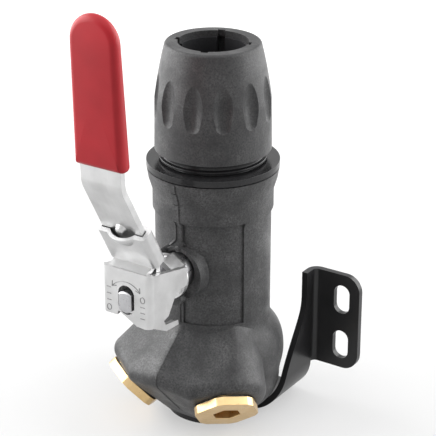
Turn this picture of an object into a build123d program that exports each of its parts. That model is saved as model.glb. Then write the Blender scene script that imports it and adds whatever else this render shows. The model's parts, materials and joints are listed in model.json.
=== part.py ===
from build123d import *
import os
from math import sin, cos, tan, radians

# A wall-mounted ball valve: a push-fit pipe socket on top, a quarter-turn ball operated by a
# lever with a sliding lock, two plugged outlets below and a bent steel wall bracket.
# Z is up along the pipe axis, the wall is at +Y and the stem points to -Y.
# The origin is the middle of the bracket's underside. All sizes are in millimetres.

os.makedirs("parts", exist_ok=True)

# Fits between pieces
running = 0.05
seat_gap = 0.15

# Pipe and push-fit socket
pipe_r = 12.5
pipe_room = 0.1
flow_r = 10.0
pipe_stop_z = 100.0
seal_z = 112.0
seal_h = 4.0
seal_washer_h = 3.0
grip_ring_h = 2.5
grip_teeth = 24
grip_tooth_gap = 0.8
grip_tooth_depth = 1.5
pocket_r = 17.3
pocket_room = 0.1
seal_room = 0.05

# Connector housing, the threaded socket screwed into the body
spigot_r = 20.0
spigot_z = 93.0
flange_r = 26.5
flange_z = 107.75
flange_h = 2.6
stub_top_z = 126.0
thread_crest_r = 21.5
thread_root_r = 20.3
thread_pitch = 3.0
thread_start = 1.2
stub_threads = 5
thread_crest_w = 0.9
flange_edge = 0.4
housing_ring_z = 99.5
ring_cord_r = 0.8
groove_room = 1.2

# Release nut and the thrust ring inside it
nut_bottom_z = 115.1
nut_top_z = 158.1
nut_barrel_r = 23.2
nut_shoulder_z = 135.7
nut_shoulder_r = 22.9
nut_waist_z = 145.5
nut_waist_r = 21.4
nut_top_r = 18.7
nut_mouth_r = 13.8
nut_lip_h = 2.6
nut_thread_room = 0.15
nut_bore_top_z = 127.5
nut_taper_h = 4.0
nut_edge = 1.4
flutes = 12
flute_axis_r = 25.6
flute_low_z = 127.0
flute_width_r = 4.1
flute_belly_r = 5.1
flute_top_z = 147.5
flute_start = 13.5
thrust_r = 17.0
thrust_bore_r = 12.9
thrust_slot_w = 3.2
thrust_slot_h = 9.0
mouth_notches = 4
mouth_notch_w = 3.0
mouth_notch_depth = 1.2
notch_turn = 20.0

# Moulded body
column_r = 23.3
column_low_z = 45.5
collar_r = 24.2
collar_z = 90.5
collar_top_z = 98.0
collar_chamfer = 2.0
neck_r = 25.7
neck_z = 103.0
shoulder_r = 26.4
shadow_gap = 0.5
shadow_depth = 1.2
bowl_r = 29.0
bowl_z = 25.0
bowl_high_r = 26.5
bowl_high_z = 38.1
base_round = 12.0
base_gap = 0.7
pad_r = 15.5
panel_from = 3.0
panel_to = 65.0
panel_low_z = 47.0
panel_depth = 0.8

# Ball, seats and their chamber
ball_r = 16.3
ball_bore_r = 9.5
stem_z = 71.0
chamber_r = 17.0
chamber_half_h = 15.0
seat_h = 4.5
seat_room = 0.1
passage_r = 9.8
retainer_h = 5.0
retainer_flange_h = 1.0
ball_slot_depth = 3.5

# Outlets: two threaded ports fanned to each side and pointing down
port_z = 45.2
port_fan = 42.5
port_drop = 42.4
port_face = 43.1
port_boss_r = 17.0
port_round = 5.0
ridge_fan = 25.9
ridge_slope = 40.8
ridge_point = (0.0, -23.3, 46.0)
front_face = 43.5
port_passage_r = 8.5
insert_r = 12.0
spot_face_r = 14.4
insert_from = 28.0
port_thread_r = 10.48
plug_pitch = 1.814
plug_room = 0.08
plug_thread_depth = 1.0
plug_threads = 6
plug_crest_w = 0.7
plug_washer_h = 0.6
plug_washer_r = 11.8
plug_head_h = 3.6
plug_head_af = 24.0
plug_head_round_r = 12.9
plug_shank = 12.5
plug_socket_af = 10.0
plug_socket_depth = 6.0
plug_turn_right = 48.0
plug_turn_left = 33.0

# Stem boss and what sits in it, as depths forward of the pipe axis
boss_r = 10.8
boss_front = 25.2
boss_drop = 1.5
boss_skirt = 1.0
boss_skirt_back = 20.5
boss_skirt_lean = 26.57
boss_recess_r = 8.0
boss_recess_floor = 24.0
gland_thread_r = 6.6
gland_thread_back = 22.3
stem_r = 5.0
collar_pocket_r = 6.8
collar_pocket_floor = 19.3
boss_lug_r = 2.6
boss_lug_at = (1.7, -11.0)
boss_lug_front = 29.5
peg_r = 1.5
peg_at = (-6.2, 6.8)
peg_front = 33.0

# Stem
tang_w = 6.0
tang_h = 10.0
tang_back = 13.0
tang_front = 16.5
stem_collar_r = 6.6
stem_collar_front = 18.5
thrust_washer_t = 0.7
stem_shoulder = 49.7
stem_proud = 1.3
flat_half_w = 2.95
flat_half_h = 4.4
stem_ring_r = 0.72
stem_rings = (20.8, 27.6)
ring_bore_gap = 0.02
stem_chamfer = 0.5
clip_groove_depth = 0.8

# Gland nut, stop plate and its nut
gland_body_r = 7.2
gland_shoulder = 31.2
gland_front = 37.0
stop_t = 2.2
stop_hub_r = 9.2
ear_front = 41.0
ear_face = 11.2
ear_w = 6.6
ear_angle = 57.0
ear_spread = 187.0
ear_bend_r = 0.5
peg_lug_wall = 1.5
stop_nut_t = 2.0
stop_nut_af = 15.4

# Lever strap, seen from the side: straight, leaning forward, then nearly upright
strap_w = 18.2
strap_t = 2.6
strap_lean = 29.55
strap_low_bend_z = 85.9
strap_high_bend_z = 122.3
strap_top_z = 184.0
grip_lean = 3.0
strap_low_bend_r = 6.0
strap_high_bend_r = 9.0
dimple_r = 3.0
dimple_h = 1.8
dimple_along = 19.4
dimple_x = 0.2
grip_low_z = 131.5
grip_cover = 4.5
grip_low_w = 22.0
grip_low_t = 7.0
grip_top_w = 20.7
grip_top_t = 5.2
grip_round = 2.3
clip_t = 0.8
clip_r = 7.4
clip_gap_w = 5.0

# Locking slide, one bent sheet round the lever
lock_t = 1.9
lock_half_w = 11.3
lock_room = 4.3
lock_top_z = 84.0
lock_low_z = 61.7
lock_bend_r = 2.5
lock_plate_gap = 0.3
sleeve_from = 1.2
sleeve_to = 17.7
lip_reach = 6.0
slot_half_w = 3.7
slot_top_z = 77.6
slot_low_z = 65.5
dome_half_w = 5.6
dome_rise = 2.8
dome_wall = 1.4
ledge_edge = 0.9

# Lower edge of the slide's front plate, as (across, height)
tab_z = 64.4
tab_right = -4.4
tab_notch = (-3.6, 66.4)
shin = (4.6, 61.8)
toe = (8.0, 61.5)

# Side walls of the slide, as (forward of the pipe axis, height)
wall_back = 35.2
wall_back_top_z = 78.8
wall_back_low_z = 71.3
wall_step = (42.4, 70.9)
wall_calf = (47.8, 63.1)
wall_heel = (50.9, 62.3)
foot_heel = (49.9, 60.2)
foot_tip = (41.4, 58.9)
foot_end = (41.2, 56.8)
foot_sole = (49.2, 57.3)
left_wall_back = 46.0
left_wall_top_z = 81.3
left_wall_low_z = 68.0

# Wall bracket, bent from one plate
plate_t = 2.5
disc_r = 19.05
side_x = 29.5
bend_r = 15.0
wing_bend_r = 2.0
wall_y = 34.5
wing_end_x = 50.5
wing_low_z = 14.5
wing_top_z = 57.0
wing_round = 7.0
slot_x = 42.3
slot_low = 25.1
slot_pitch = 20.7
slot_w = 7.2
slot_len = 12.7
wing_fold_y = 30.0
edge_low_y = 3.5
edge_bend_y = 13.7
edge_bend_z = 22.1
edge_high_y = 22.4
edge_high_z = 36.0
edge_top_y = 25.5
edge_top_z = 47.0
edge_start = (0.4, 1.0)

# Screws that hold the body to the bracket
screw_r = 2.5
screw_pcr = 11.4
screw_head_r = 4.6
screw_len = 10.0
screw_key_af = 3.0
screw_insert_r = 3.4
screw_insert_len = 8.0
screws = 3

bore_r = pipe_r + pipe_room
spigot_bore_r = spigot_r + running
body_top_z = flange_z
base_z = plate_t + base_gap
stub_low_z = flange_z + flange_h
seal_washer_z = seal_z + seal_h
grip_ring_z = seal_washer_z + seal_washer_h
thrust_z = grip_ring_z + grip_ring_h
thrust_top_z = nut_top_z - nut_lip_h
chamber_low_z = stem_z - chamber_half_h
seat_top_z = stem_z + chamber_half_h
retainer_top_z = seat_top_z + retainer_h
ring_seat_r = pocket_r - pocket_room
ring_bore_r = bore_r + seal_room
strap_mid = stem_shoulder + strap_t / 2 + 2 * running
clip_from = strap_mid + strap_t / 2 + 2 * running
lock_front = clip_from + clip_t + lock_room + lock_t
stem_end = lock_front + stem_proud
grip_top_z = strap_top_z + grip_cover
port_middle = Vector(0, 0, port_z)


def away(fan, drop):
    """Direction that turns fan degrees from the front towards +X and drops below level."""
    level = cos(radians(drop))
    return Vector(sin(radians(fan)) * level, -cos(radians(fan)) * level, -sin(radians(drop)))


def port_plane(side, along):
    """Plane square to an outlet's axis, a distance along it from where the axes meet."""
    out = away(side * port_fan, port_drop)
    across = Vector(cos(radians(port_fan)), side * sin(radians(port_fan)), 0)
    return Plane(origin=port_middle + out * along, x_dir=across, z_dir=out)


def stem_plane(depth):
    """Plane square to the stem's axis, a depth forward of the pipe axis."""
    return Plane(origin=(0, -depth, stem_z), x_dir=(1, 0, 0), z_dir=(0, -1, 0))


def radial_plane(angle):
    """Plane through the stem's axis: x runs outward at an angle from +X, y is the depth forward."""
    turn = radians(angle)
    return Plane(origin=(0, 0, stem_z), x_dir=(cos(turn), 0, sin(turn)), z_dir=(sin(turn), 0, -cos(turn)))


def lever_plane(along):
    """Plane square to the leaning run of the strap, a distance up from its low bend."""
    up = Vector(0, -sin(radians(strap_lean)), cos(radians(strap_lean)))
    low_bend = Vector(0, -strap_mid, strap_low_bend_z)
    return Plane(origin=low_bend + up * along, x_dir=(1, 0, 0), z_dir=up)


panel_edge = away(panel_from, 0)
panel_plane = Plane(origin=(0, 0, 0), x_dir=panel_edge, z_dir=panel_edge.cross(Vector(0, 0, 1)))


def thread_ridge(root, crest, height, half_w):
    """Corners of one thread ridge, as (radius, height), half as wide at the crest as at the root."""
    return [
        (root - half_w, height - half_w),
        (root, height - half_w),
        (crest, height - half_w / 2),
        (crest, height + half_w / 2),
        (root, height + half_w),
        (root - half_w, height + half_w),
    ]


def save(piece, name):
    piece.part.label = name
    export_step(piece.part, f"parts/{name}.step")


# What lies outside the round outer half of each outlet
port_corners = []
for side, outer in ((1, Align.MIN), (-1, Align.MAX)):
    with BuildPart() as port_corner:
        with BuildSketch(port_plane(side, 0)):
            Rectangle(2 * port_face, 4 * port_face, align=(outer, Align.CENTER))
            Circle(port_boss_r, mode=Mode.SUBTRACT)
        extrude(amount=2 * port_face, both=True)
    port_corners.append(port_corner.part)

# Body: the two outlets as one faceted lobe with rounded edges
with BuildPart() as lobe:
    with BuildSketch(Plane.XY.offset(base_z)):
        Rectangle(4 * port_face, 2 * port_face, align=(Align.CENTER, Align.MAX))
    extrude(amount=port_z + port_boss_r)
    for side in (1, -1):
        outward = away(side * port_fan, port_drop)
        split(bisect_by=Plane(port_middle + outward * port_face, z_dir=outward), keep=Keep.BOTTOM)
        upward = away(side * ridge_fan, ridge_slope - 90)
        split(bisect_by=Plane(ridge_point, z_dir=upward), keep=Keep.BOTTOM)
    forward = away(0, port_drop)
    split(bisect_by=Plane(port_middle + forward * front_face, z_dir=forward), keep=Keep.BOTTOM)
    add(port_corners, mode=Mode.SUBTRACT)
    forward_edges = lobe.edges().filter_by(lambda e: e.center().Y < -2 * port_round)
    outer_edges = forward_edges.filter_by(lambda e: e.center().Z > base_z + port_round)
    fillet(outer_edges, port_round)

# Body: turned column and bowl, outlets, stem boss, then every hole
with BuildPart() as valve_body:
    with BuildSketch(Plane.XZ):
        with BuildLine():
            Polyline((0, body_top_z), (0, plate_t), (pad_r, plate_t), (pad_r, base_z))
            RadiusArc((pad_r, base_z), (pad_r + base_round, base_z + base_round), -base_round)
            Spline(
                (pad_r + base_round, base_z + base_round),
                (bowl_r, bowl_z),
                (bowl_high_r, bowl_high_z),
                (column_r, column_low_z),
                tangents=((0, 1), (0, 1)),
            )
            Polyline(
                (column_r, column_low_z),
                (column_r, collar_z - collar_chamfer),
                (collar_r, collar_z),
                (collar_r, collar_top_z),
                (neck_r, neck_z),
                (shoulder_r, body_top_z - shadow_gap),
                (shoulder_r - shadow_depth, body_top_z - shadow_gap),
                (shoulder_r - shadow_depth, body_top_z),
                (0, body_top_z),
            )
        make_face()
    revolve(axis=Axis.Z)
    with BuildSketch(panel_plane):
        with Locations((column_r, (panel_low_z + collar_z) / 2)):
            Rectangle(2 * panel_depth, collar_z - panel_low_z)
    revolve(axis=Axis.Z, revolution_arc=panel_to - panel_from, mode=Mode.SUBTRACT)
    add(lobe.part)
    with BuildSketch(stem_plane(column_r / 2)):
        with Locations((0, -boss_drop)):
            Circle(boss_r)
    extrude(amount=boss_front - column_r / 2)
    with BuildSketch(stem_plane(boss_skirt_back)):
        with Locations((0, -boss_drop)):
            Circle(boss_r + boss_skirt)
    extrude(amount=2 * boss_skirt, taper=boss_skirt_lean)
    with BuildSketch(stem_plane(column_r / 2)):
        with Locations(boss_lug_at):
            Circle(boss_lug_r)
    extrude(amount=boss_lug_front - column_r / 2)
    with BuildSketch(stem_plane(column_r / 2)):
        with Locations(peg_at):
            Circle(peg_r)
    extrude(amount=peg_front - column_r / 2)
    with BuildSketch(Plane.XZ):
        with BuildLine():
            Polyline(
                (0, chamber_low_z),
                (chamber_r, chamber_low_z),
                (chamber_r, retainer_top_z),
                (spigot_bore_r, retainer_top_z),
                (spigot_bore_r, body_top_z),
                (0, body_top_z),
                close=True,
            )
        make_face()
    revolve(axis=Axis.Z, mode=Mode.SUBTRACT)
    with BuildSketch(Plane.XY.offset(port_z)):
        Circle(passage_r)
    extrude(amount=chamber_low_z - port_z, mode=Mode.SUBTRACT)
    with Locations(port_middle):
        Sphere(passage_r, mode=Mode.SUBTRACT)
    for side in (1, -1):
        with BuildSketch(port_plane(side, 0)):
            Circle(port_passage_r)
        extrude(amount=insert_from, mode=Mode.SUBTRACT)
        with BuildSketch(port_plane(side, insert_from)):
            Circle(insert_r)
        extrude(amount=port_face - insert_from, mode=Mode.SUBTRACT)
        with BuildSketch(port_plane(side, port_face)):
            Circle(spot_face_r)
        extrude(amount=insert_r, mode=Mode.SUBTRACT)
    for floor, radius in (
        (0, collar_pocket_r),
        (collar_pocket_floor, stem_r + running),
        (gland_thread_back, gland_thread_r + running),
        (boss_recess_floor, boss_recess_r),
    ):
        with BuildSketch(stem_plane(floor)):
            Circle(radius)
        mouth = collar_pocket_floor if floor == 0 else boss_front
        extrude(amount=mouth - floor, mode=Mode.SUBTRACT)
    with BuildSketch(Plane.XY.offset(plate_t)):
        with PolarLocations(screw_pcr, screws, start_angle=90):
            Circle(screw_insert_r)
    extrude(amount=screw_insert_len, mode=Mode.SUBTRACT)
save(valve_body, "valve_body")

# Seats either side of the ball, each a ring hollowed to the ball with a small gap
with BuildPart() as lower_seat:
    with BuildSketch(Plane.XY.offset(chamber_low_z)):
        Circle(chamber_r - seat_room)
        Circle(passage_r, mode=Mode.SUBTRACT)
    extrude(amount=seat_h)
    with Locations((0, 0, stem_z)):
        Sphere(ball_r + seat_gap, mode=Mode.SUBTRACT)
save(lower_seat, "lower_seat")

with BuildPart() as upper_seat:
    with BuildSketch(Plane.XY.offset(seat_top_z - seat_h)):
        Circle(chamber_r - seat_room)
        Circle(passage_r, mode=Mode.SUBTRACT)
    extrude(amount=seat_h)
    with Locations((0, 0, stem_z)):
        Sphere(ball_r + seat_gap, mode=Mode.SUBTRACT)
save(upper_seat, "upper_seat")

with BuildPart() as seat_retainer:
    with BuildSketch(Plane.XY.offset(seat_top_z)):
        Circle(chamber_r - seat_room)
    extrude(amount=retainer_h)
    with BuildSketch(Plane.XY.offset(retainer_top_z)):
        Circle(spigot_r - seat_room)
    extrude(amount=retainer_flange_h)
    with BuildSketch(Plane.XY.offset(seat_top_z)):
        Circle(passage_r)
    extrude(amount=retainer_h + retainer_flange_h, mode=Mode.SUBTRACT)
save(seat_retainer, "seat_retainer")

# Connector housing: spigot, flange and threaded stub, with the pocket for the seals
ring_groove_r = spigot_r - 2 * ring_cord_r
with BuildPart() as connector_housing:
    with BuildSketch(Plane.XY.offset(spigot_z)):
        Circle(spigot_r)
    extrude(amount=flange_z - spigot_z)
    with BuildSketch(Plane.XY.offset(flange_z)):
        Circle(flange_r)
    extrude(amount=flange_h)
    with BuildSketch(Plane.XY.offset(stub_low_z)):
        Circle(thread_root_r)
    extrude(amount=stub_top_z - stub_low_z)
    chamfer(connector_housing.faces().filter_by(Axis.Z).sort_by(Axis.Z)[-1].edges(), flange_edge)
    with BuildSketch(Plane.XZ):
        for turn in range(stub_threads):
            with BuildLine():
                height = stub_low_z + thread_start + turn * thread_pitch
                Polyline(*thread_ridge(thread_root_r, thread_crest_r, height, thread_crest_w), close=True)
            make_face()
    revolve(axis=Axis.Z)
    with BuildSketch(Plane.XZ):
        with Locations((ring_groove_r, housing_ring_z)):
            Rectangle(4 * ring_cord_r, 2 * groove_room * ring_cord_r, align=(Align.MIN, Align.CENTER))
    revolve(axis=Axis.Z, mode=Mode.SUBTRACT)
    for floor, radius in ((spigot_z, flow_r), (pipe_stop_z, bore_r), (seal_z, pocket_r)):
        with BuildSketch(Plane.XY.offset(floor)):
            Circle(radius)
        extrude(amount=stub_top_z - floor, mode=Mode.SUBTRACT)
save(connector_housing, "connector_housing")

with BuildPart() as housing_o_ring:
    with Locations((0, 0, housing_ring_z)):
        Torus(ring_groove_r + ring_cord_r, ring_cord_r)
save(housing_o_ring, "housing_o_ring")

with BuildPart() as pipe_seal:
    with BuildSketch(Plane.XY.offset(seal_z)):
        Circle(ring_seat_r)
        Circle(ring_bore_r, mode=Mode.SUBTRACT)
    extrude(amount=seal_h)
    fillet(pipe_seal.edges().sort_by(Axis.Z)[:2], seal_h / 5)
save(pipe_seal, "pipe_seal")

with BuildPart() as seal_washer:
    with BuildSketch(Plane.XY.offset(seal_washer_z)):
        Circle(ring_seat_r)
        Circle(ring_bore_r, mode=Mode.SUBTRACT)
    extrude(amount=seal_washer_h)
save(seal_washer, "seal_washer")

# Grip ring: a steel ring whose inner edge is cut into teeth
with BuildPart() as grip_ring:
    with BuildSketch(Plane.XY.offset(grip_ring_z)):
        Circle(ring_seat_r)
        Circle(ring_bore_r, mode=Mode.SUBTRACT)
        with PolarLocations(ring_bore_r + grip_tooth_depth, grip_teeth):
            SlotCenterToCenter(2 * grip_tooth_depth, grip_tooth_gap, mode=Mode.SUBTRACT)
    extrude(amount=grip_ring_h)
save(grip_ring, "grip_ring")

# Thrust ring: slotted at the top so that its fingers close on the pipe
with BuildPart() as thrust_ring:
    with BuildSketch(Plane.XY.offset(thrust_z)):
        Circle(thrust_r)
        Circle(thrust_bore_r, mode=Mode.SUBTRACT)
    extrude(amount=thrust_top_z - thrust_z)
    with BuildSketch(Plane.XY.offset(thrust_top_z)):
        with PolarLocations(thrust_r, mouth_notches, start_angle=notch_turn):
            Rectangle(thrust_r, thrust_slot_w)
    extrude(amount=-thrust_slot_h, mode=Mode.SUBTRACT)
save(thrust_ring, "thrust_ring")

# Release nut: a tapered grip with finger flutes, screwed on the connector housing
with BuildPart() as flute_cutter:
    with BuildSketch(Plane.XZ):
        with BuildLine():
            Line((0, flute_low_z), (0, flute_top_z + flute_width_r))
            Line((0, flute_top_z + flute_width_r), (flute_width_r, flute_top_z))
            ThreePointArc(
                (flute_width_r, flute_top_z),
                (flute_belly_r, (flute_top_z + flute_low_z + flute_width_r) / 2),
                (flute_width_r, flute_low_z + flute_width_r),
            )
            RadiusArc((flute_width_r, flute_low_z + flute_width_r), (0, flute_low_z), flute_width_r)
        make_face()
    revolve(axis=Axis.Z)

with BuildPart() as release_nut:
    with BuildSketch(Plane.XZ):
        with BuildLine():
            Polyline((0, nut_top_z), (0, nut_bottom_z), (nut_barrel_r, nut_bottom_z))
            Line((nut_barrel_r, nut_bottom_z), (nut_shoulder_r, nut_shoulder_z))
            waist = (nut_waist_r, nut_waist_z)
            ThreePointArc((nut_shoulder_r, nut_shoulder_z), waist, (nut_top_r, nut_top_z))
            Line((nut_top_r, nut_top_z), (0, nut_top_z))
        make_face()
    revolve(axis=Axis.Z)
    fillet(release_nut.edges().sort_by(Axis.Z)[-1], nut_edge)
    with PolarLocations(flute_axis_r, flutes, start_angle=flute_start):
        add(flute_cutter.part, mode=Mode.SUBTRACT)
    nut_bore_r = thread_crest_r + nut_thread_room
    cavity_r = thrust_r + pocket_room
    with BuildSketch(Plane.XZ):
        with BuildLine():
            Polyline(
                (0, nut_bottom_z),
                (nut_bore_r, nut_bottom_z),
                (nut_bore_r, nut_bore_top_z),
                (cavity_r, nut_bore_top_z + nut_taper_h),
                (cavity_r, thrust_top_z),
                (nut_mouth_r, thrust_top_z),
                (nut_mouth_r, nut_top_z),
                (0, nut_top_z),
                close=True,
            )
        make_face()
    revolve(axis=Axis.Z, mode=Mode.SUBTRACT)
    with BuildSketch(Plane.XY.offset(thrust_top_z)):
        with PolarLocations(nut_mouth_r, mouth_notches, start_angle=notch_turn):
            Rectangle(2 * mouth_notch_depth, mouth_notch_w)
    extrude(amount=nut_lip_h, mode=Mode.SUBTRACT)
save(release_nut, "release_nut")

# Brass inserts and plugs of the two outlets
for side, name, plug_turn in ((-1, "left", plug_turn_left), (1, "right", plug_turn_right)):
    with BuildPart() as port_insert:
        with BuildSketch(port_plane(side, insert_from)):
            Circle(insert_r)
            Circle(port_thread_r, mode=Mode.SUBTRACT)
        extrude(amount=port_face - insert_from)
    save(port_insert, f"port_insert_{name}")

    with BuildPart() as plug_washer:
        with BuildSketch(port_plane(side, port_face)):
            Circle(plug_washer_r)
            Circle(port_thread_r, mode=Mode.SUBTRACT)
        extrude(amount=plug_washer_h)
    save(plug_washer, f"plug_washer_{name}")

    seat = port_face + plug_washer_h
    shank_r = port_thread_r - plug_room
    with BuildPart() as port_plug:
        with BuildSketch(port_plane(side, seat)):
            RegularPolygon(plug_head_af / 2, 6, major_radius=False, rotation=plug_turn)
            Circle(plug_head_round_r, mode=Mode.INTERSECT)
        extrude(amount=plug_head_h)
        with BuildSketch(port_plane(side, seat)):
            Circle(shank_r - plug_thread_depth)
        extrude(amount=-plug_shank)
        profile = port_plane(side, seat)
        profile = Plane(origin=profile.origin, x_dir=profile.x_dir, z_dir=profile.y_dir)
        with BuildSketch(profile):
            for turn in range(plug_threads):
                with BuildLine():
                    depth = (turn + 1) * plug_pitch
                    ridge = thread_ridge(shank_r - plug_thread_depth, shank_r, depth, plug_crest_w)
                    Polyline(*ridge, close=True)
                make_face()
        revolve(axis=Axis(profile.origin, profile.y_dir))
        with BuildSketch(port_plane(side, seat + plug_head_h)):
            RegularPolygon(plug_socket_af / 2, 6, major_radius=False, rotation=plug_turn)
        extrude(amount=-plug_socket_depth, mode=Mode.SUBTRACT)
    save(port_plug, f"port_plug_{name}")

# Ball and stem
with BuildPart() as ball:
    with Locations((0, 0, stem_z)):
        Sphere(ball_r)
        Cylinder(ball_bore_r, 3 * ball_r, mode=Mode.SUBTRACT)
    with BuildSketch(stem_plane(ball_r - ball_slot_depth)):
        Rectangle(tang_w + 2 * running, 3 * ball_r)
    extrude(amount=ball_r, mode=Mode.SUBTRACT)
save(ball, "ball")

with BuildPart() as stem:
    with BuildSketch(stem_plane(tang_back)):
        Rectangle(tang_w, tang_h)
    extrude(amount=tang_front - tang_back)
    with BuildSketch(stem_plane(tang_front)):
        Circle(stem_collar_r)
    extrude(amount=stem_collar_front - tang_front)
    with BuildSketch(stem_plane(stem_collar_front)):
        Circle(stem_r)
    extrude(amount=stem_shoulder - stem_collar_front)
    with BuildSketch(stem_plane(stem_shoulder)):
        Circle(flat_half_h)
        Rectangle(2 * flat_half_w, 2 * flat_half_h, mode=Mode.INTERSECT)
    extrude(amount=stem_end - stem_shoulder)
    chamfer(stem.faces().sort_by(Axis.Y)[0].edges(), stem_chamfer)
    stem_groove_r = stem_r + running - 2 * stem_ring_r - ring_bore_gap
    for depth in stem_rings:
        with BuildSketch(stem_plane(depth - groove_room * stem_ring_r)):
            Circle(2 * stem_r)
            Circle(stem_groove_r, mode=Mode.SUBTRACT)
        extrude(amount=2 * groove_room * stem_ring_r, mode=Mode.SUBTRACT)
    with BuildSketch(stem_plane(clip_from)):
        Circle(2 * flat_half_h)
        Circle(flat_half_h - clip_groove_depth, mode=Mode.SUBTRACT)
    extrude(amount=clip_t + 2 * running, mode=Mode.SUBTRACT)
save(stem, "stem")

for depth, name in zip(stem_rings, ("inner", "outer")):
    with BuildPart() as stem_o_ring:
        with Locations(stem_plane(depth)):
            Torus(stem_groove_r + stem_ring_r, stem_ring_r)
    save(stem_o_ring, f"stem_o_ring_{name}")

with BuildPart() as stem_thrust_washer:
    with BuildSketch(stem_plane(stem_collar_front + running)):
        Circle(stem_collar_r)
        Circle(stem_r + running, mode=Mode.SUBTRACT)
    extrude(amount=thrust_washer_t)
save(stem_thrust_washer, "stem_thrust_washer")

# Gland nut, stop plate and the nut that clamps it
with BuildPart() as gland_nut:
    with BuildSketch(stem_plane(gland_thread_back)):
        Circle(gland_thread_r)
    extrude(amount=gland_front - gland_thread_back)
    with BuildSketch(stem_plane(boss_recess_floor)):
        Circle(gland_body_r)
    extrude(amount=gland_shoulder - boss_recess_floor)
    with BuildSketch(stem_plane(gland_thread_back)):
        Circle(stem_r + running)
    extrude(amount=gland_front - gland_thread_back, mode=Mode.SUBTRACT)
save(gland_nut, "gland_nut")

with BuildPart() as stop_plate:
    with BuildSketch(stem_plane(gland_shoulder)):
        Circle(stop_hub_r)
        with Locations(peg_at):
            Circle(peg_r + peg_lug_wall)
    extrude(amount=stop_t)
    for angle in (ear_angle, ear_angle + ear_spread):
        with BuildSketch(radial_plane(angle)) as ear:
            with BuildLine():
                Polyline(
                    (0, gland_shoulder),
                    (ear_face, gland_shoulder),
                    (ear_face, ear_front),
                    (ear_face - stop_t, ear_front),
                    (ear_face - stop_t, gland_shoulder + stop_t),
                    (0, gland_shoulder + stop_t),
                    close=True,
                )
            make_face()
            outer_bend = ear.vertices().sort_by_distance((ear_face, gland_shoulder))[0]
            fillet(outer_bend, ear_bend_r + stop_t)
            inner_bend = ear.vertices().sort_by_distance((ear_face - stop_t, gland_shoulder + stop_t))[0]
            fillet(inner_bend, ear_bend_r)
        extrude(amount=ear_w / 2, both=True)
    with BuildSketch(stem_plane(gland_shoulder)):
        Circle(gland_thread_r + running)
        with Locations(peg_at):
            Circle(peg_r + running)
    extrude(amount=ear_front - gland_shoulder, mode=Mode.SUBTRACT)
save(stop_plate, "stop_plate")

with BuildPart() as stop_plate_nut:
    with BuildSketch(stem_plane(gland_shoulder + stop_t)):
        RegularPolygon(stop_nut_af / 2, 6, major_radius=False, rotation=ear_angle - 30)
        Circle(gland_thread_r + running, mode=Mode.SUBTRACT)
    extrude(amount=stop_nut_t)
save(stop_plate_nut, "stop_plate_nut")

# Lever: one strap swept along its side view, with round ends
rise = Vector(-sin(radians(grip_lean)), cos(radians(grip_lean)))
high_bend_y = -strap_mid - (strap_high_bend_z - strap_low_bend_z) * tan(radians(strap_lean))
strap_top = Vector(high_bend_y, strap_high_bend_z) + rise * (strap_top_z + strap_t - strap_high_bend_z)
with BuildPart() as strap:
    with BuildLine(Plane.YZ):
        strap_line = FilletPolyline(
            (-strap_mid, stem_z - strap_w / 2),
            (-strap_mid, strap_low_bend_z),
            (high_bend_y, strap_high_bend_z),
            (strap_top.X, strap_top.Y),
            radius=(strap_low_bend_r, strap_high_bend_r),
        )
    with BuildSketch(Plane(origin=strap_line @ 0, x_dir=(1, 0, 0), z_dir=(0, 0, 1))):
        Rectangle(strap_w, strap_t)
    sweep()
    with BuildSketch(stem_plane(0)):
        with Locations((0, (strap_top_z - stem_z - strap_w / 2) / 2)):
            SlotOverall(strap_top_z - stem_z + strap_w / 2, strap_w + 2 * running, rotation=90)
    extrude(amount=2 * strap_mid, mode=Mode.INTERSECT)

with BuildPart() as lever:
    add(strap.part)
    with BuildSketch(stem_plane(strap_mid - strap_t)):
        Circle(flat_half_h + running)
        Rectangle(2 * (flat_half_w + running), 3 * flat_half_h, mode=Mode.INTERSECT)
    extrude(amount=2 * strap_t, mode=Mode.SUBTRACT)
    across_strap = lever_plane(dimple_along)
    dimple_middle = across_strap.origin + Vector(dimple_x, 0, 0)
    with Locations(Plane(origin=dimple_middle, x_dir=(1, 0, 0), z_dir=-across_strap.y_dir)):
        Cone(dimple_r, dimple_r / 2, strap_t / 2 + dimple_h, align=(Align.CENTER, Align.CENTER, Align.MIN))
save(lever, "lever")

with BuildPart() as lever_clip:
    with BuildSketch(stem_plane(clip_from)):
        Circle(clip_r)
        Circle(flat_half_h - clip_groove_depth + running, mode=Mode.SUBTRACT)
        with Locations((0, -clip_r / 2)):
            Rectangle(clip_gap_w, clip_r, mode=Mode.SUBTRACT)
    extrude(amount=clip_t)
save(lever_clip, "lever_clip")

# Grip: a dipped sleeve over the top of the strap, tapering upwards
grip_up = Vector(0, rise.X, rise.Y)
grip_start = (grip_low_z - strap_high_bend_z) / grip_up.Z
grip_mid = Vector(0, high_bend_y, strap_high_bend_z) + grip_up * grip_start
grip_len = (grip_top_z - grip_low_z) / grip_up.Z
with BuildPart() as lever_grip:
    with BuildSketch(Plane(origin=grip_mid, x_dir=(1, 0, 0), z_dir=grip_up)):
        RectangleRounded(grip_low_w, grip_low_t, grip_round)
    with BuildSketch(Plane(origin=grip_mid + grip_up * grip_len, x_dir=(1, 0, 0), z_dir=grip_up)):
        RectangleRounded(grip_top_w, grip_top_t, grip_round)
    loft()
    with BuildSketch(stem_plane(0)):
        with Locations((0, (grip_low_z + grip_top_z) / 2 - stem_z - grip_top_w)):
            SlotOverall(grip_top_z - grip_low_z + 2 * grip_top_w, grip_low_w, rotation=90)
    extrude(amount=2 * strap_mid, mode=Mode.INTERSECT)
    add(strap.part, mode=Mode.SUBTRACT)
save(lever_grip, "lever_grip")

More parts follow.
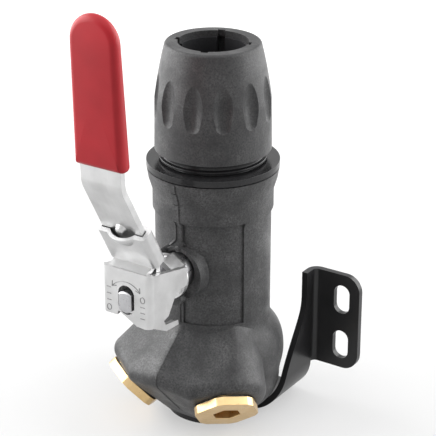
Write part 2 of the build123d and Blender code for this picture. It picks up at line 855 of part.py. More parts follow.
# Locking slide: front plate and side walls, then the sleeve that clasps the leaning strap
lock_inner_w = lock_half_w - lock_t
sleeve_outer = strap_t / 2 + lock_plate_gap + lock_t
sleeve_inner = sleeve_outer - lock_t
with BuildPart() as lock_keep:
    with BuildSketch(stem_plane(lock_front - lock_t)):
        with BuildLine():
            outline = [
                (-lock_half_w, lock_top_z),
                (-lock_half_w, tab_z),
                (tab_right, tab_z),
                tab_notch,
                shin,
                toe,
                (lock_half_w, lock_low_z),
                (lock_half_w, lock_top_z),
            ]
            Polyline(*[(x, z - stem_z) for x, z in outline], close=True)
        make_face()
        with Locations((0, (slot_top_z + slot_low_z) / 2 - stem_z)):
            SlotOverall(slot_top_z - slot_low_z, 2 * slot_half_w, rotation=90, mode=Mode.SUBTRACT)
    extrude(amount=lock_t)
    with BuildSketch(Plane.YZ.offset(lock_inner_w / 2)):
        with BuildLine():
            outline = [
                (lock_front, lock_top_z),
                (wall_back, wall_back_top_z),
                (wall_back, wall_back_low_z),
                wall_step,
                wall_calf,
                wall_heel,
                foot_heel,
                foot_tip,
                foot_end,
                foot_sole,
                (lock_front - lock_t, lock_low_z),
                (lock_front, lock_low_z),
            ]
            Polyline(*[(-forward, z) for forward, z in outline], close=True)
        make_face()
    extrude(amount=lock_half_w)
    with BuildSketch(Plane.YZ.offset(-lock_inner_w / 2)):
        with BuildLine():
            Polyline(
                (-lock_front, lock_top_z),
                (-left_wall_back, left_wall_top_z),
                (-left_wall_back, left_wall_low_z),
                (-lock_front, tab_z),
                close=True,
            )
        make_face()
    extrude(amount=-lock_half_w)

# A dome pressed forward in the sleeve's upper edge, over the strap's dimple
sleeve_top = lever_plane(sleeve_to)
sleeve_front = Plane(origin=sleeve_top.origin - sleeve_top.y_dir * sleeve_inner, z_dir=-sleeve_top.y_dir)
dome_r = (dome_half_w**2 + dome_rise**2) / (2 * dome_rise)
dome_middle = sleeve_front.origin + sleeve_front.z_dir * (dome_rise - dome_r) + Vector(dimple_x, 0, 0)
with BuildPart() as dome_room:
    with Locations(dome_middle):
        Sphere(dome_r)
    split(bisect_by=sleeve_front, keep=Keep.TOP)

with BuildPart() as dome:
    with Locations(dome_middle):
        Sphere(dome_r + dome_wall)
    split(bisect_by=sleeve_front, keep=Keep.TOP)
    split(bisect_by=sleeve_top, keep=Keep.BOTTOM)

with BuildPart() as lock_slide:
    with BuildSketch(Plane.XY.offset(foot_end[1])) as channel:
        with Locations((0, -lock_front)):
            Rectangle(2 * lock_half_w, lock_front, align=(Align.CENTER, Align.MIN))
        fillet(channel.vertices().sort_by(Axis.Y)[:2], lock_bend_r)
        with Locations((0, -lock_front + lock_t)):
            Rectangle(2 * lock_inner_w, lock_front, align=(Align.CENTER, Align.MIN), mode=Mode.SUBTRACT)
    extrude(amount=lock_top_z - foot_end[1])
    add(lock_keep.part, mode=Mode.INTERSECT)
    low_edge = lever_plane(sleeve_from)
    outer_foot = low_edge.origin - low_edge.y_dir * sleeve_outer
    inner_foot = low_edge.origin - low_edge.y_dir * sleeve_inner
    with BuildSketch(Plane.YZ):
        with BuildLine():
            Polyline(
                (-lock_front, lock_top_z - lock_t),
                (-lock_front, lock_top_z - ledge_edge),
                (-lock_front + ledge_edge, lock_top_z),
                (outer_foot.Y, outer_foot.Z),
                (inner_foot.Y, inner_foot.Z),
                (inner_foot.Y, inner_foot.Z - lock_t),
                (-lock_front + lock_t, lock_top_z - lock_t),
                close=True,
            )
        make_face()
    extrude(amount=lock_half_w - lock_bend_r, both=True)
    with BuildSketch(low_edge):
        RectangleRounded(2 * lock_half_w, 2 * sleeve_outer, lock_bend_r)
        Rectangle(2 * lock_inner_w, 2 * sleeve_inner, mode=Mode.SUBTRACT)
        with Locations((0, sleeve_inner)):
            Rectangle(2 * lip_reach, 2 * lock_t, align=(Align.CENTER, Align.MIN), mode=Mode.SUBTRACT)
    extrude(amount=sleeve_to - sleeve_from)
    add(dome.part)
    add(dome_room.part, mode=Mode.SUBTRACT)
save(lock_slide, "lock_slide")

# Wall bracket: a U bent up from the disc, with a wing turned out along the wall on each side
with BuildPart() as bracket_keep:
    with BuildSketch(Plane.XY):
        Circle(disc_r)
    extrude(amount=plate_t)
    with BuildSketch(Plane.YZ.offset(-side_x)):
        with BuildLine():
            Spline(
                (edge_low_y, 0),
                (edge_bend_y, edge_bend_z),
                (edge_high_y, edge_high_z),
                (edge_top_y, edge_top_z),
                tangents=(edge_start, (0, 1)),
            )
            Polyline(
                (edge_top_y, edge_top_z),
                (edge_top_y, wing_top_z),
                (wing_fold_y, wing_top_z),
                (wing_fold_y, 0),
                (edge_low_y, 0),
            )
        make_face()
    extrude(amount=2 * side_x)

with BuildPart() as wall_bracket:
    with BuildSketch(Plane.XZ.offset(disc_r)) as cradle:
        Rectangle(2 * side_x, wing_top_z, align=(Align.CENTER, Align.MIN))
        fillet(cradle.vertices().sort_by(Axis.Y)[:2], bend_r)
    extrude(amount=-disc_r - wing_fold_y)
    with BuildSketch(Plane.XZ.offset(disc_r)) as cradle_room:
        with Locations((0, plate_t)):
            Rectangle(2 * (side_x - plate_t), wing_top_z, align=(Align.CENTER, Align.MIN))
        fillet(cradle_room.vertices().sort_by(Axis.Y)[:2], bend_r - plate_t)
    extrude(amount=-disc_r - wing_fold_y, mode=Mode.SUBTRACT)
    add(bracket_keep.part, mode=Mode.INTERSECT)
    for side in (1, -1):
        outer = Align.MIN if side == 1 else Align.MAX
        with BuildSketch(Plane.XY.offset(wing_low_z)) as wing:
            with Locations((side * (side_x - plate_t), wing_fold_y)):
                Rectangle(plate_t, wall_y - wing_fold_y, align=(outer, Align.MIN))
            with Locations((side * (side_x - plate_t), wall_y)):
                Rectangle(wing_end_x - side_x + plate_t, plate_t, align=(outer, Align.MAX))
            inner_corner = wing.vertices().sort_by_distance((side * side_x, wall_y - plate_t))[0]
            fillet(inner_corner, wing_bend_r)
            outer_corner = wing.vertices().sort_by_distance((side * (side_x - plate_t), wall_y))[0]
            fillet(outer_corner, wing_bend_r + plate_t)
        extrude(amount=wing_top_z - wing_low_z)
        wing_end = wall_bracket.faces().filter_by(Axis.X).sort_by(Axis.X)[-1 if side == 1 else 0]
        fillet(wing_end.edges().filter_by(Axis.Y), wing_round)
        with BuildSketch(Plane.XZ.offset(-wall_y)):
            with Locations((side * slot_x, slot_low), (side * slot_x, slot_low + slot_pitch)):
                SlotOverall(slot_len, slot_w, rotation=90)
        extrude(amount=2 * plate_t, mode=Mode.SUBTRACT)
    with Locations(Plane(origin=(0, 0, 0), x_dir=(1, 0, 0), z_dir=(0, 0, -1))):
        with PolarLocations(screw_pcr, screws, start_angle=-90):
            CounterSinkHole(screw_r + 2 * running, screw_head_r + 2 * running, depth=plate_t)
save(wall_bracket, "wall_bracket")

with BuildPart() as bracket_inserts:
    with BuildSketch(Plane.XY.offset(plate_t)):
        with PolarLocations(screw_pcr, screws, start_angle=90):
            Circle(screw_insert_r)
            Circle(screw_r + running, mode=Mode.SUBTRACT)
    extrude(amount=screw_insert_len)
save(bracket_inserts, "bracket_inserts")

with BuildPart() as bracket_screws:
    head_h = screw_head_r - screw_r
    with Locations((0, 0, 2 * running)):
        with PolarLocations(screw_pcr, screws, start_angle=90):
            Cone(screw_head_r, screw_r, head_h, align=(Align.CENTER, Align.CENTER, Align.MIN))
            Cylinder(screw_r, screw_len - 2 * running, align=(Align.CENTER, Align.CENTER, Align.MIN))
    with BuildSketch(Plane.XY):
        with PolarLocations(screw_pcr, screws, start_angle=90):
            RegularPolygon(screw_key_af / 2, 6, major_radius=False)
    extrude(amount=head_h, mode=Mode.SUBTRACT)
save(bracket_screws, "bracket_screws")
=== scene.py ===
"""Looks of the wall-mounted ball valve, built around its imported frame. Lengths are in metres."""
import bpy
import bmesh
import json
import math
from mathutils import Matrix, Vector
from mathutils.bvhtree import BVHTree


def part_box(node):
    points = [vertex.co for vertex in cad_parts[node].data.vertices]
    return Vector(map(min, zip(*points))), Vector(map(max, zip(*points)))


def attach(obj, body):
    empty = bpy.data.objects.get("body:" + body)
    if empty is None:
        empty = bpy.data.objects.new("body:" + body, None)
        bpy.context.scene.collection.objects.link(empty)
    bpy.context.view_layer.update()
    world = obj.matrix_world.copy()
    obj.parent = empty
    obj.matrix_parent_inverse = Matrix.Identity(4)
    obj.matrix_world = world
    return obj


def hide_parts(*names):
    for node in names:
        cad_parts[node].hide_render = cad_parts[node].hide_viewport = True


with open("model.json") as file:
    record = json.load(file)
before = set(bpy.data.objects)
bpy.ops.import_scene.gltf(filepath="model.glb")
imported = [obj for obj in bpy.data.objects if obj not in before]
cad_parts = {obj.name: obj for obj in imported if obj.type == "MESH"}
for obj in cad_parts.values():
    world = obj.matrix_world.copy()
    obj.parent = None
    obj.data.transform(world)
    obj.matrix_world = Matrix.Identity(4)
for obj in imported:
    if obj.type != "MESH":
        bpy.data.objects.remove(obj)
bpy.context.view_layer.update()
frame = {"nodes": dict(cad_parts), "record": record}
nodes = frame["nodes"]
record = frame["record"]
MM = 0.001

# Camera, fitted to the photograph's view: angles in degrees, focal length and sensor in mm
AZIMUTH = 33.5
ELEVATION = 23.43
DISTANCE = 0.68928
TARGET = Vector((0, 0, 0.08392))
LENS = 141.8
SENSOR_WIDTH = 36
SHIFT_X = 0.0112
CLIP_START = 0.01
CLIP_END = 20


def heading(azimuth, elevation):
    """Unit vector from the object towards a point at that azimuth and height."""
    a = math.radians(azimuth)
    e = math.radians(elevation)
    return Vector((math.sin(a) * math.cos(e), -math.cos(a) * math.cos(e), math.sin(e)))


def add_aimed(name, data, azimuth, elevation, distance):
    """Adds a camera or lamp that looks at TARGET from that side, height and distance."""
    looker = bpy.data.objects.new(name, data)
    bpy.context.scene.collection.objects.link(looker)
    back = heading(azimuth, elevation)
    looker.location = TARGET + back * distance
    looker.rotation_mode = "QUATERNION"
    looker.rotation_quaternion = (-back).to_track_quat("-Z", "Y")
    return looker


def add_camera():
    """Adds the photograph's camera and makes it the scene's."""
    data = bpy.data.cameras.new("camera")
    data.sensor_width = SENSOR_WIDTH
    data.lens = LENS
    data.shift_x = SHIFT_X
    data.clip_start = CLIP_START
    data.clip_end = CLIP_END
    bpy.context.scene.camera = add_aimed("camera", data, AZIMUTH, ELEVATION, DISTANCE)


add_camera()
bpy.context.scene.view_settings.view_transform = "Standard"


# Shader nodes
WHITE = (1, 1, 1, 1)
NOISE_SPAN = (0.3, 0.7)     # a noise texture's values lie mostly between these


def add_node(tree, kind, **inputs):
    """A new shader node, with inputs set by name (an underscore stands for a space)."""
    node = tree.nodes.new("ShaderNode" + kind)
    for socket, value in inputs.items():
        node.inputs[socket.replace("_", " ")].default_value = value
    return node


def calculate(tree, operation, first, second, clamp=False):
    """The result of a Math node on two sockets."""
    node = add_node(tree, "Math")
    node.operation = operation
    node.use_clamp = clamp
    tree.links.new(first, node.inputs[0])
    tree.links.new(second, node.inputs[1])
    return node.outputs[0]


def remap(tree, value, span, low, high):
    """Maps a socket's value from span onto low to high."""
    node = add_node(tree, "MapRange", From_Min=span[0], From_Max=span[1], To_Min=low, To_Max=high)
    tree.links.new(value, node.inputs["Value"])
    return node.outputs["Result"]


def seen_directly(tree):
    """1 for rays from the camera, a reflection or through glass, and 0 for light that spreads."""
    paths = add_node(tree, "LightPath")
    total = paths.outputs["Is Camera Ray"]
    for kind in ("Is Glossy Ray", "Is Transmission Ray"):
        total = calculate(tree, "ADD", total, paths.outputs[kind], clamp=True)
    return total


# Light and floor
def add_softbox(name, azimuth, elevation, distance, size, power):
    """Adds a flat lamp of that width and height, with its power in watts."""
    data = bpy.data.lights.new(name, "AREA")
    data.shape = "RECTANGLE"
    data.size, data.size_y = size
    data.energy = power
    add_aimed(name, data, azimuth, elevation, distance)


def add_world(strength):
    """Even light of that strength on the object, seen as plain white behind it."""
    world = bpy.data.worlds.new("studio")
    bpy.context.scene.world = world
    world.use_nodes = True
    tree = world.node_tree
    tree.nodes.clear()
    dim = add_node(tree, "Background", Color=WHITE, Strength=strength)
    white = add_node(tree, "Background", Color=WHITE, Strength=1)
    mix = add_node(tree, "MixShader")
    out = add_node(tree, "OutputWorld")
    tree.links.new(seen_directly(tree), mix.inputs["Fac"])
    tree.links.new(dim.outputs[0], mix.inputs[1])
    tree.links.new(white.outputs[0], mix.inputs[2])
    tree.links.new(mix.outputs[0], out.inputs["Surface"])


def add_floor(half_size, albedo, near_lift, far_lift, fade_span):
    """A pale floor that keeps the object's shadow; its lift towards white grows with distance."""
    mesh = bpy.data.meshes.new("floor")
    signs = ((-1, -1), (1, -1), (1, 1), (-1, 1))
    mesh.from_pydata([(x * half_size, y * half_size, 0) for x, y in signs], [], [(0, 1, 2, 3)])
    floor = bpy.data.objects.new("floor", mesh)
    bpy.context.scene.collection.objects.link(floor)
    material = bpy.data.materials.new("floor")
    material.use_nodes = True
    tree = material.node_tree
    tree.nodes.clear()
    matte = add_node(tree, "BsdfDiffuse", Color=(albedo, albedo, albedo, 1))
    glow = add_node(tree, "Emission", Color=WHITE)
    place = add_node(tree, "NewGeometry")
    reach = add_node(tree, "VectorMath")
    reach.operation = "LENGTH"
    tree.links.new(place.outputs["Position"], reach.inputs[0])
    lift = remap(tree, reach.outputs["Value"], fade_span, near_lift, far_lift)
    both = add_node(tree, "AddShader")
    out = add_node(tree, "OutputMaterial")
    tree.links.new(calculate(tree, "MULTIPLY", seen_directly(tree), lift), glow.inputs["Strength"])
    tree.links.new(matte.outputs[0], both.inputs[0])
    tree.links.new(glow.outputs[0], both.inputs[1])
    tree.links.new(both.outputs[0], out.inputs["Surface"])
    mesh.materials.append(material)


add_world(0.34)
add_floor(half_size=6.0, albedo=0.4, near_lift=0.43, far_lift=0.95, fade_span=(0.2, 0.7))
# Large weak lamps beside the camera's line and overhead, so that bare metal doesn't clip
for side, turn, power in (("left", -104, 27.0), ("right", 104, 23.0)):
    add_softbox(side + "_softbox", AZIMUTH + turn, elevation=8, distance=0.85, size=(1.3, 1.5),
                power=power)
add_softbox("top_softbox", AZIMUTH - 20, elevation=80, distance=1.0, size=(1.2, 1.2), power=4.5)


# Materials
def new_material(name, color, roughness, metallic=0.0, **inputs):
    """A Principled material, returned with its tree and shader for the caller's own nodes."""
    material = bpy.data.materials.new(name)
    material.use_nodes = True
    tree = material.node_tree
    shader = tree.nodes["Principled BSDF"]
    shader.inputs["Base Color"].default_value = (*color, 1)
    shader.inputs["Roughness"].default_value = roughness
    shader.inputs["Metallic"].default_value = metallic
    for socket, value in inputs.items():
        shader.inputs[socket.replace("_", " ")].default_value = value
    return material, tree, shader


def place_texture(tree, stretch=(1, 1, 1)):
    """Object coordinates, stretched, for a texture's Vector input."""
    where = add_node(tree, "TexCoord")
    mapping = add_node(tree, "Mapping", Scale=stretch)
    tree.links.new(where.outputs["Object"], mapping.inputs["Vector"])
    return mapping.outputs["Vector"]


def noise(tree, vector, scale, detail=2.0, roughness=0.5):
    """A noise texture's value; scale counts its cells over a metre."""
    texture = add_node(tree, "TexNoise", Scale=scale, Detail=detail, Roughness=roughness)
    tree.links.new(vector, texture.inputs["Vector"])
    return texture.outputs["Fac"]


def spread(tree, value, low, high):
    """Maps a noise onto low to high."""
    return remap(tree, value, NOISE_SPAN, low, high)


def set_tint(tree, shader, value, dark, light):
    """Gives the shader a base colour from dark to light by a 0 to 1 value."""
    mix = add_node(tree, "Mix")
    mix.data_type = "RGBA"
    mix.inputs["A"].default_value = (*dark, 1)
    mix.inputs["B"].default_value = (*light, 1)
    tree.links.new(value, mix.inputs["Factor"])
    tree.links.new(mix.outputs["Result"], shader.inputs["Base Color"])


def set_roughness(tree, shader, value, low, high):
    """Gives the shader a roughness from low to high by a noise."""
    tree.links.new(spread(tree, value, low, high), shader.inputs["Roughness"])


def set_bump(tree, shader, height, strength, distance):
    """Gives the shader a relief of that depth from a 0 to 1 height."""
    node = add_node(tree, "Bump", Strength=strength, Distance=distance)
    tree.links.new(height, node.inputs["Height"])
    tree.links.new(node.outputs["Normal"], shader.inputs["Normal"])


def grained_plastic(name, dark, light, roughness, depth=0.00022):
    """Moulded glass-filled plastic: an eroded grain that fades in and out over cloudy patches."""
    material, tree, shader = new_material(name, dark, roughness, Specular_IOR_Level=0.3)
    place = place_texture(tree)
    cloud = noise(tree, place, scale=110, detail=5, roughness=0.6)
    grit = noise(tree, place, scale=1400, detail=3, roughness=0.7)
    patches = spread(tree, cloud, 0.25, 1.3)
    grain = calculate(tree, "MULTIPLY", spread(tree, grit, 0, 1), patches)
    set_tint(tree, shader, grain, dark, light)
    set_roughness(tree, shader, cloud, roughness + 0.08, roughness - 0.1)
    set_bump(tree, shader, grit, strength=0.5, distance=depth)
    return material


def brushed_metal(name, dark, light, roughness, stretch=(1, 1, 1), grain=900, depth=0.00002):
    """Satin metal with fine lines along the axis that stretch leaves long."""
    material, tree, shader = new_material(name, light, roughness, metallic=1.0)
    lines = noise(tree, place_texture(tree, stretch), scale=grain, detail=3, roughness=0.6)
    cloud = noise(tree, place_texture(tree), scale=120, detail=3)
    set_tint(tree, shader, spread(tree, cloud, 0, 1), dark, light)
    set_roughness(tree, shader, lines, roughness - 0.07, roughness + 0.08)
    set_bump(tree, shader, lines, strength=0.25, distance=depth)
    return material


def satin_paint(name, dark, light, roughness):
    """Powder coating: a slight orange peel and a little unevenness in the tone."""
    material, tree, shader = new_material(name, dark, roughness, Specular_IOR_Level=0.35)
    place = place_texture(tree)
    peel = noise(tree, place, scale=900)
    cloud = noise(tree, place, scale=70, detail=3)
    set_tint(tree, shader, spread(tree, cloud, 0, 1), dark, light)
    set_bump(tree, shader, peel, strength=0.3, distance=0.00005)
    return material


def dipped_vinyl(name, dark, light, roughness):
    """Dipped vinyl: smooth, with long soft waves."""
    material, tree, shader = new_material(name, light, roughness, Specular_IOR_Level=0.3)
    place = place_texture(tree)
    wave = noise(tree, place, scale=60)
    fine = noise(tree, place, scale=1500)
    set_tint(tree, shader, spread(tree, wave, 0, 1), dark, light)
    set_roughness(tree, shader, fine, roughness - 0.04, roughness + 0.05)
    set_bump(tree, shader, wave, strength=0.15, distance=0.0003)
    return material


def soft_seal(name, dark, light, roughness):
    """Rubber or fluoropolymer: even and matte, with a very fine skin."""
    material, tree, shader = new_material(name, dark, roughness)
    place = place_texture(tree)
    cloud = noise(tree, place, scale=200)
    skin = noise(tree, place, scale=1800)
    set_tint(tree, shader, spread(tree, cloud, 0, 1), dark, light)
    set_bump(tree, shader, skin, strength=0.2, distance=0.00002)
    return material


# Each material: its maker, dark and light colour, roughness, and what differs from the defaults
PALETTE = {
    "body_plastic": (grained_plastic, (0.026, 0.026, 0.027), (0.105, 0.105, 0.106), 0.48, {}),
    "nut_plastic": (grained_plastic, (0.024, 0.024, 0.025), (0.08, 0.08, 0.081), 0.44,
                    {"depth": 0.0001}),
    "gloss_plastic": (grained_plastic, (0.011, 0.011, 0.012), (0.026, 0.026, 0.027), 0.2,
                      {"depth": 0.00003}),
    "ring_plastic": (grained_plastic, (0.02, 0.02, 0.022), (0.034, 0.034, 0.036), 0.42,
                     {"depth": 0.00004}),
    "seat_ptfe": (soft_seal, (0.74, 0.74, 0.7), (0.82, 0.82, 0.79), 0.45, {}),
    "seal_rubber": (soft_seal, (0.012, 0.012, 0.012), (0.02, 0.02, 0.02), 0.6, {}),
    "brass": (brushed_metal, (0.56, 0.35, 0.1), (0.66, 0.45, 0.16), 0.3, {}),
    "plug_brass": (brushed_metal, (0.6, 0.42, 0.2), (0.7, 0.51, 0.27), 0.34,
                   {"grain": 500, "depth": 0.000008}),
    "ball_chrome": (brushed_metal, (0.72, 0.72, 0.73), (0.8, 0.8, 0.81), 0.12, {}),
    # The lock's marks are the plate's own steel; their darker colour is painted shade along the
    # raised lines
    "mark_steel_painted_shade": (brushed_metal, (0.2, 0.2, 0.2), (0.28, 0.28, 0.28), 0.5, {}),
    "stem_steel": (brushed_metal, (0.38, 0.38, 0.39), (0.5, 0.5, 0.51), 0.32,
                   {"stretch": (1, 0.05, 1)}),
    "stainless": (brushed_metal, (0.6, 0.6, 0.6), (0.68, 0.68, 0.68), 0.36, {"depth": 0.000001}),
    "lever_steel": (brushed_metal, (0.46, 0.46, 0.46), (0.57, 0.57, 0.57), 0.4,
                    {"stretch": (1, 0.1, 0.04)}),
    "lock_steel": (brushed_metal, (0.48, 0.48, 0.48), (0.57, 0.57, 0.57), 0.38,
                   {"stretch": (0.3, 0.3, 0.3)}),
    "grip_vinyl": (dipped_vinyl, (0.34, 0.008, 0.014), (0.43, 0.013, 0.021), 0.38, {}),
    "bracket_black": (satin_paint, (0.015, 0.015, 0.016), (0.025, 0.025, 0.026), 0.32, {}),
}
looks = {
    name: maker(name, dark, light, roughness, **others)
    for name, (maker, dark, light, roughness, others) in PALETTE.items()
}
# The housing comes from a polished mould, so it is darker and glossier than the body
own_look = {"connector_housing": "gloss_plastic"}
slot_of = {row["node"]: row["material_slot"] for row in record["subparts"]}
bodies = record["behaviour"]["bodies"]
body_of = {node: body for body, names in bodies.items() for node in names}


def dress(mesh, look):
    """Makes that look the mesh's only material."""
    mesh.materials.clear()
    mesh.materials.append(looks[look])


def look_of(node):
    """The look that a CAD node has: its own, or its slot's."""
    return own_look.get(node, slot_of[node])


for name, node in nodes.items():
    dress(node.data, look_of(name))


# Mesh helpers
SMOOTH_ANGLE = 40           # edges sharper than this stay sharp, in degrees
EASED_ANGLE = 32            # edges sharper than this are eased, in degrees
FLAT_ANGLE = 0.5            # facets within this are one flat face, in degrees
WELD = 0.001 * MM           # points within this are one
EASED_SEGMENTS = 2
LARGE_FACES_FIRST = 100     # weight at which large faces stay flat between eased edges
ROD_SIDES = 6


def add_piece(name, bm, like, look=None, smooth_angle=SMOOTH_ANGLE, stands_for=()):
    """Makes a piece from a bmesh, with the body, slot and look of the CAD node that it is like."""
    mesh = bpy.data.meshes.new(name)
    bm.to_mesh(mesh)
    bm.free()
    old_normals = mesh.attributes.get("custom_normal")
    if old_normals:
        mesh.attributes.remove(old_normals)
    dress(mesh, look or look_of(like))
    mesh.shade_smooth()
    mesh.set_sharp_from_angle(angle=math.radians(smooth_angle))
    piece = bpy.data.objects.new(name, mesh)
    bpy.context.scene.collection.objects.link(piece)
    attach(piece, body_of[like])
    if stands_for:
        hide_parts(*stands_for)
    return piece


def apply_modifiers(piece):
    """Turns the piece's modifiers into its mesh."""
    graph = bpy.context.evaluated_depsgraph_get()
    mesh = bpy.data.meshes.new_from_object(piece.evaluated_get(graph))
    piece.modifiers.clear()
    piece.data = mesh


def ease(name, width, angle=EASED_ANGLE):
    """Stands for a CAD node with its sharp edges rounded by width, as pressing leaves them."""
    bm = bmesh.new()
    bm.from_mesh(nodes[name].data)
    bmesh.ops.remove_doubles(bm, verts=bm.verts, dist=WELD)
    bmesh.ops.dissolve_limit(bm, angle_limit=math.radians(FLAT_ANGLE), verts=bm.verts,
                             edges=bm.edges)
    joined = [edge for edge in bm.edges if len(edge.link_faces) == 2]
    sharp = [edge for edge in joined if edge.calc_face_angle(0) > math.radians(angle)]
    bmesh.ops.bevel(bm, geom=sharp, offset=width, segments=EASED_SEGMENTS, profile=0.5,
                    affect="EDGES", clamp_overlap=True)
    piece = add_piece(name + "_dressed", bm, name, stands_for=[name])
    weight = piece.modifiers.new("weight", "WEIGHTED_NORMAL")
    weight.keep_sharp = True
    weight.weight = LARGE_FACES_FIRST
    apply_modifiers(piece)


def steps(first, last, count):
    """Evenly spaced values from first to last."""
    return [first + (last - first) * k / (count - 1) for k in range(count)]


def full_turn(count):
    """Evenly spaced angles round a circle, in radians."""
    return [2 * math.pi * k / count for k in range(count)]


def bridge(bm, rings, closed=False):
    """Joins each ring of points to the next, and the last to the first where closed."""
    for low, high in zip(rings, rings[1:] + rings[:1] if closed else rings[1:]):
        count = len(low)
        for k in range(count):
            bm.faces.new((low[k], low[(k + 1) % count], high[(k + 1) % count], high[k]))


def cap(bm, rings):
    """Closes the first and last ring with a face each."""
    bm.faces.new(rings[0][::-1])
    bm.faces.new(rings[-1])


def face_outwards(bm):
    """Turns every face of a closed form outwards."""
    bmesh.ops.recalc_face_normals(bm, faces=bm.faces)


def add_rod(bm, path, radius, closed=False):
    """Adds a thin round rod along a path of points."""
    rings = []
    count = len(path)
    for i, point in enumerate(path):
        before = path[i - 1] if i > 0 or closed else path[i]
        after = path[(i + 1) % count] if i < count - 1 or closed else path[i]
        along = (after - before).normalized()
        across = along.cross(Vector((0, 1, 0))).normalized()
        up = along.cross(across)
        rings.append([
            bm.verts.new(point + (across * math.cos(t) + up * math.sin(t)) * radius)
            for t in full_turn(ROD_SIDES)
        ])
    bridge(bm, rings, closed)
    if not closed:
        cap(bm, rings)
    face_outwards(bm)


# Moulding seam down the body's front: strips from one (left x, right x, z) to another, in mm
SEAM_STRIPS = (
    ((-2.2, -0.1, 107.0), (-2.2, -0.1, 103.2)),
    ((-2.5, 0.3, 102.9), (-2.5, 0.3, 98.2)),
    ((-2.5, 0.3, 97.8), (-2.6, 0.4, 90.8)),
    ((-2.8, -1.5, 90.4), (-3.0, -1.7, 82.4)),
    ((0.1, 1.0, 90.4), (0.2, 1.1, 82.6)),
    ((-3.0, -1.7, 82.4), (-5.8, -4.6, 79.6)),
    ((0.2, 1.1, 82.6), (1.6, 2.6, 80.8)),
    ((-1.5, 0.1, 60.0), (-1.5, 0.1, 47.0)),
)
RIDGE_STRIP = ((-1.5, 1.1, 44.0), (-1.5, 1.1, 9.0))
STRIP_STATIONS = 6
RIDGE_STATIONS = 30
SEAM_H = 0.42 * MM          # how far a strip stands proud, and reaches into the body
SEAM_SLOPE = 0.25           # share of a strip's width that each side slopes over
SEAM_SLOPE_MAX = 1.2        # width that the share is taken of at most, in mm
DOT_X = 0.1 * MM
DOT_Z = 79.9 * MM
DOT_R = 1.25 * MM
DOT_SIDES = 20
DOT_RINGS = ((1.0, -0.3), (1.0, 0.35), (0.75, 0.55), (0.35, 0.6))   # share of DOT_R, height in mm
AHEAD_Y = -0.2              # clear of the object's front

body_skin = BVHTree.FromObject(nodes["valve_body"], bpy.context.evaluated_depsgraph_get())


def front_of_body(x, z):
    """Where a line along +Y at that x and height first meets the moulded body."""
    return body_skin.ray_cast(Vector((x, AHEAD_Y, z)), Vector((0, 1, 0)))[0]


def between(start, end, z):
    """Station at height z on a strip that runs from one (left, right, z) to another."""
    share = (z - start[2]) / (end[2] - start[2])
    return (start[0] + (end[0] - start[0]) * share, start[1] + (end[1] - start[1]) * share, z)


def add_strip(bm, start, end, count):
    """Adds a raised flat strip that follows the body's front through count stations."""
    rows = []
    for left, right, z in [between(start, end, z) for z in steps(start[2], end[2], count)]:
        a, b = (front_of_body(x * MM, z * MM) for x in (left, right))
        slope = Vector((SEAM_SLOPE * min(abs(right - left), SEAM_SLOPE_MAX) * MM, 0, 0))
        lift = Vector((0, -SEAM_H, 0))
        drop = Vector((0, SEAM_H, 0))
        points = (a + drop, a, a + lift + slope, b + lift - slope, b, b + drop)
        rows.append([bm.verts.new(p) for p in points])
    bridge(bm, rows)
    cap(bm, rows[::-1])
    face_outwards(bm)


def add_dot(bm):
    """Adds the domed dot under the seam's fork."""
    centre = front_of_body(DOT_X, DOT_Z)
    rings = []
    for share, height in DOT_RINGS:
        radius = share * DOT_R
        y = centre.y - height * MM
        rings.append([
            bm.verts.new((centre.x + radius * math.cos(t), y, centre.z + radius * math.sin(t)))
            for t in full_turn(DOT_SIDES)
        ])
    bridge(bm, rings)
    cap(bm, rings)
    face_outwards(bm)


def add_seams():
    """Adds the seam down the body with its fork and dot, and the one between the lobes."""
    bm = bmesh.new()
    for start, end in SEAM_STRIPS:
        add_strip(bm, start, end, STRIP_STATIONS)
    add_dot(bm)
    add_piece("body_seam", bm, "valve_body")
    bm = bmesh.new()
    add_strip(bm, *RIDGE_STRIP, RIDGE_STATIONS)
    add_piece("ridge_seam", bm, "valve_body")


add_seams()


# Sheet metal, brass and mouldings with their edges eased
ease("lever", 0.35 * MM)
ease("lock_slide", 0.4 * MM)
ease("stop_plate", 0.35 * MM)
ease("stop_plate_nut", 0.3 * MM)
ease("stem", 0.2 * MM)
ease("wall_bracket", 0.35 * MM)
ease("port_plug_left", 0.3 * MM)
ease("port_plug_right", 0.3 * MM)
ease("release_nut", 0.35 * MM, angle=28)
ease("connector_housing", 0.2 * MM)
ease("valve_body", 0.45 * MM, angle=34)


# Grip: a dipped sleeve with a round top and rolled edges, leaning back from its foot
GRIP_LEAN = math.radians(3.0)
GRIP_LOW_Z = 129.6 * MM
GRIP_TOP_Z = 187.6 * MM
GRIP_LOW_HALF = 11.0 * MM       # half widths
GRIP_TOP_HALF = 10.35 * MM
GRIP_LOW_THICK = 3.5 * MM       # half thicknesses
GRIP_TOP_THICK = 2.65 * MM
GRIP_ROLL = 2.6 * MM
GRIP_CORNER = 1.6 * MM
GRIP_LENGTH = (GRIP_TOP_Z - GRIP_LOW_Z) / math.cos(GRIP_LEAN)
GRIP_SMOOTH_ANGLE = 70
CORNER_POINTS = 5
SIDE_POINTS = 14
GRIP_RINGS = 17


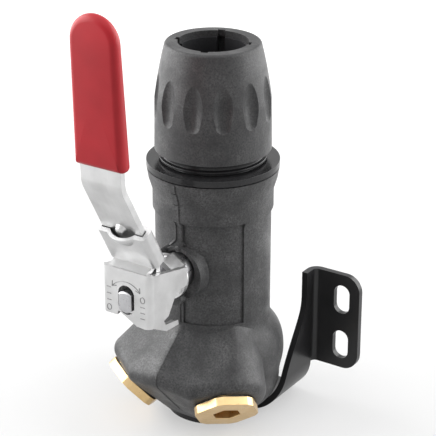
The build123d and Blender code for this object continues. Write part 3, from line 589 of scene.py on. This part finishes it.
def grip_outline():
    """The grip's outline seen from the front, as (x, height along the grip), anticlockwise."""
    middle = GRIP_LENGTH - GRIP_TOP_HALF
    points = []
    for turn in steps(0, math.pi / 2, CORNER_POINTS):
        x = GRIP_LOW_HALF - GRIP_CORNER + GRIP_CORNER * math.sin(turn)
        points.append((x, GRIP_CORNER - GRIP_CORNER * math.cos(turn)))
    for share in steps(0, 1, SIDE_POINTS)[1:-1]:
        x = GRIP_LOW_HALF + (GRIP_TOP_HALF - GRIP_LOW_HALF) * share
        points.append((x, GRIP_CORNER + (middle - GRIP_CORNER) * share))
    for turn in steps(0, math.pi / 2, SIDE_POINTS):
        points.append((GRIP_TOP_HALF * math.cos(turn), middle + GRIP_TOP_HALF * math.sin(turn)))
    return points + [(-x, s) for x, s in reversed(points) if x > WELD]


def inward_of(outline):
    """The unit normal into the outline at each of its points."""
    normals = []
    for i in range(len(outline)):
        before, after = outline[i - 1], outline[(i + 1) % len(outline)]
        dx, ds = after[0] - before[0], after[1] - before[1]
        size = math.hypot(dx, ds)
        normals.append((-ds / size, dx / size))
    return normals


def add_grip():
    """Adds the sleeve as rings from the back face round the edge to the front face."""
    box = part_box("lever_grip")
    outline = grip_outline()
    inward = inward_of(outline)
    count = len(outline)
    up = Vector((0, -math.sin(GRIP_LEAN), math.cos(GRIP_LEAN)))
    front = Vector((0, -math.cos(GRIP_LEAN), -math.sin(GRIP_LEAN)))
    foot_y = (box[0][1] + box[1][1]) / 2 + GRIP_LENGTH * math.sin(GRIP_LEAN) / 2
    foot = Vector((0, foot_y, GRIP_LOW_Z))
    bm = bmesh.new()
    rings = []
    for turn in steps(-90, 90, GRIP_RINGS):
        angle = math.radians(turn)
        inset = GRIP_ROLL * (1 - math.cos(angle))
        ring = []
        for (x, s), (nx, ns) in zip(outline, inward):
            share = min(max(s / GRIP_LENGTH, 0), 1)
            thick = GRIP_LOW_THICK + (GRIP_TOP_THICK - GRIP_LOW_THICK) * share
            side = Vector((x + nx * inset, 0, 0))
            rise = up * (s + ns * inset)
            ring.append(bm.verts.new(foot + side + rise + front * (thick * math.sin(angle))))
        rings.append(ring)
    bridge(bm, rings)
    middle_thick = (GRIP_LOW_THICK + GRIP_TOP_THICK) / 2
    for ring, sign in ((rings[0], -1), (rings[-1], 1)):
        centre = bm.verts.new(foot + up * GRIP_LENGTH / 2 + front * sign * middle_thick)
        for k in range(count):
            bm.faces.new((ring[k], ring[(k + 1) % count], centre))
    face_outwards(bm)
    add_piece("lever_grip_sleeve", bm, "lever_grip", smooth_angle=GRIP_SMOOTH_ANGLE,
              stands_for=["lever_grip"])


add_grip()


# Marks on the lock's front plate: a two-headed arrow, rings and bars, in mm from the stem's axis
LOCK_FACE_Y = -59.5 * MM
STEM_Z = 71.0 * MM
MARK_R = 0.2 * MM
ARROW_R = 8.2
ARROW_SPAN = (38, 142)      # degrees
ARROW_POINTS = 15
BARB = 2.2
BARB_TURN = 0.6             # radians
RING_HALF_X = 1.0
RING_HALF_Z = 1.25
RING_POINTS = 12
BAR_HALF = 1.0
COLUMNS = ((-8.0, -4.2, (4.3, 1.6, -1.1)), (7.6, 2.4, (-0.6, -3.0, -5.4)))   # x, ring z, bars' z


def on_lock(x, z):
    """A point on the plate's face."""
    return Vector((x * MM, LOCK_FACE_Y, STEM_Z + z * MM))


def add_lock_marks():
    """Adds the arrow, rings and bars as thin rods sunk to half in the plate."""
    bm = bmesh.new()
    arc = [math.radians(a) for a in steps(*ARROW_SPAN, ARROW_POINTS)]
    add_rod(bm, [on_lock(ARROW_R * math.cos(a), ARROW_R * math.sin(a)) for a in arc], MARK_R)
    for end, sign in ((arc[0], -1), (arc[-1], 1)):
        tip = (ARROW_R * math.cos(end), ARROW_R * math.sin(end))
        for turn in (-BARB_TURN, BARB_TURN):
            back = end + sign * math.pi / 2 + math.pi + turn
            tail = (tip[0] + BARB * math.cos(back), tip[1] + BARB * math.sin(back))
            add_rod(bm, [on_lock(*tip), on_lock(*tail)], MARK_R)
    for x, ring_z, bars in COLUMNS:
        ring = [
            on_lock(x + RING_HALF_X * math.cos(a), ring_z + RING_HALF_Z * math.sin(a))
            for a in full_turn(RING_POINTS)
        ]
        add_rod(bm, ring, MARK_R, closed=True)
        for z in bars:
            add_rod(bm, [on_lock(x - BAR_HALF, z), on_lock(x + BAR_HALF, z)], MARK_R)
    # The marks get a darker steel than the plate: painted shade along the raised lines
    add_piece("lock_marks", bm, "lock_slide", look="mark_steel_painted_shade")


add_lock_marks()
